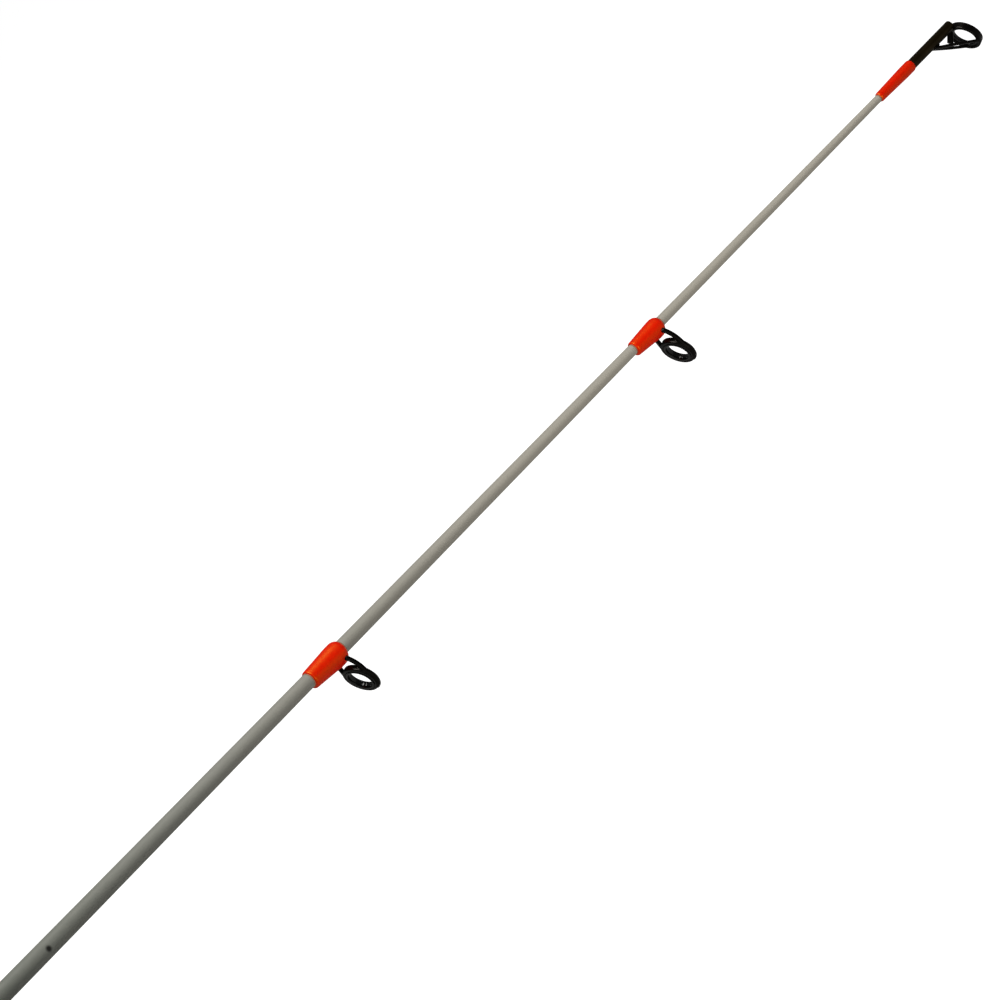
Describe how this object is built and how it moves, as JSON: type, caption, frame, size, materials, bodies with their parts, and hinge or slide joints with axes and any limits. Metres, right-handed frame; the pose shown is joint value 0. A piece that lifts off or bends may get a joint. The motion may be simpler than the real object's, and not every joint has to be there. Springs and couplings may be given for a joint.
{
  "type": "ice fishing rod",
  "caption": "Short tapered ice fishing rod with single-foot ring guides, a tip-top, thread wraps and a cork handle with a screw-locked reel seat.",
  "frame": {"origin": "centre of the butt cap's flat end, on the blank's axis", "axes": "+X along the blank from the butt to the tip, -Z towards the guides and the reel, +Y to one side; the rod is symmetric about the XZ plane"},
  "size_m": [0.7145, 0.0252, 0.0292],
  "materials": {
    "glass_blank": "satin, pale warm grey solid glass fibre",
    "orange_thread": "orange-red wrapping thread under clear glossy resin",
    "black_frame": "glossy black-nickel plated wire and sheet",
    "black_ceramic": "polished black",
    "cork": "sanded natural cork",
    "black_rubber": "matt moulded",
    "seat_plastic": "satin moulded graphite-filled nylon",
    "orange_anodised": "satin anodised",
    "hood_metal": "dark satin plated",
    "liner_plastic": "matt",
    "bush_foam": "matt rigid foam"
  },
  "bodies": {
    "rod": {"blank": "glass_blank", "tip_top_tube": "black_frame", "tip_top_frame": "black_frame", "tip_top_ring": "black_ceramic", "tip_wrap": "orange_thread", "guide_1_frame": "black_frame", "guide_1_ring": "black_ceramic", "guide_1_wrap": "orange_thread", "guide_2_frame": "black_frame", "guide_2_ring": "black_ceramic", "guide_2_wrap": "orange_thread", "guide_3_frame": "black_frame", "guide_3_ring": "black_ceramic", "guide_3_wrap": "orange_thread", "hook_keeper": "black_frame", "hook_keeper_wrap_rear": "orange_thread", "hook_keeper_wrap_front": "orange_thread", "trim_wrap": "orange_thread", "butt_cap": "black_rubber", "rear_grip": "cork", "rear_trim_ring": "orange_anodised", "reel_seat_body": "seat_plastic", "arbor_rear": "bush_foam", "arbor_front": "bush_foam", "fixed_hood": "hood_metal", "fixed_hood_liner": "liner_plastic", "front_trim_ring": "orange_anodised", "fore_grip": "cork", "winding_check": "orange_anodised"},
    "hood": {"sliding_hood": "hood_metal", "sliding_hood_liner": "liner_plastic"},
    "nut": {"lock_nut": "orange_anodised"}
  },
  "joints": [
    {"name": "hood_slide", "type": "slide", "parent": "rod", "child": "hood", "axis": [1, 0, 0], "range_m": [-0.008, 0.012]},
    {"name": "lock_nut_turn", "type": "hinge", "parent": "hood", "child": "nut", "pos_m": [0.12, 0, 0], "axis": [1, 0, 0], "range_deg": [-1153, 1729]}
  ],
  "couplings": [
    {"joint": "lock_nut_turn", "follows": "hood_slide", "rad_per_m": 2513.3}
  ]
}
